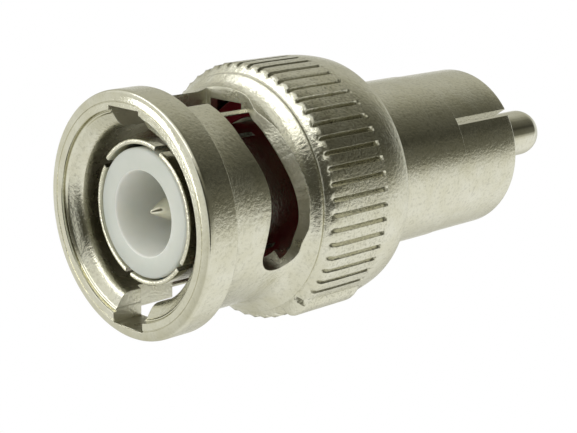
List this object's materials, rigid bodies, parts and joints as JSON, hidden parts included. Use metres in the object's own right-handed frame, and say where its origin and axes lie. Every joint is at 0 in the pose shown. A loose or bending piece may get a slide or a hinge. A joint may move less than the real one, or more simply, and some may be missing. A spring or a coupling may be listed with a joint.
{
  "type": "bnc to rca adapter",
  "caption": "Coaxial adapter with a turning bayonet nut round a slotted plug at one end and an RCA plug with a domed pin at the other, for camera video leads.",
  "frame": {"origin": "centre of the bayonet nut's front rim, on the face it stands on", "axes": "+Z along the adapter's axis to the RCA pin's tip; the nut's two lug channels lie on the X axis"},
  "size_m": [0.0152, 0.0152, 0.0367],
  "materials": {
    "cast_nickel": "nickel plate over a die casting, slightly grainy",
    "turned_nickel": "nickel plate over turned brass, satin with faint turning lines",
    "pin_nickel": "nickel plate over a turned pin, smooth",
    "spring_steel": "plain spring steel",
    "red_silicone": "dark red silicone rubber",
    "white_plastic": "white moulded plastic, slightly translucent"
  },
  "bodies": {
    "root": {"bnc_body": "turned_nickel", "outer_contact": "turned_nickel", "gasket": "red_silicone", "bnc_insulator": "white_plastic", "bnc_pin": "pin_nickel", "rca_shell": "turned_nickel", "rca_insulator": "white_plastic", "rca_pin": "pin_nickel", "wave_washer": "spring_steel"},
    "spring_seat": {"thrust_washer": "spring_steel"},
    "nut": {"coupling_nut": "cast_nickel", "nut_end_ring": "turned_nickel"}
  },
  "joints": [
    {"name": "nut_pull", "type": "slide", "parent": "root", "child": "spring_seat", "axis": [0, 0, -1], "range_m": [0, 0.0011], "stiffness_N_per_m": 2000, "deforming": ["wave_washer"]},
    {"name": "nut_turn", "type": "hinge", "parent": "spring_seat", "child": "nut", "pos_m": [0, 0, 0.0137], "axis": [0, 0, 1], "continuous": true}
  ]
}
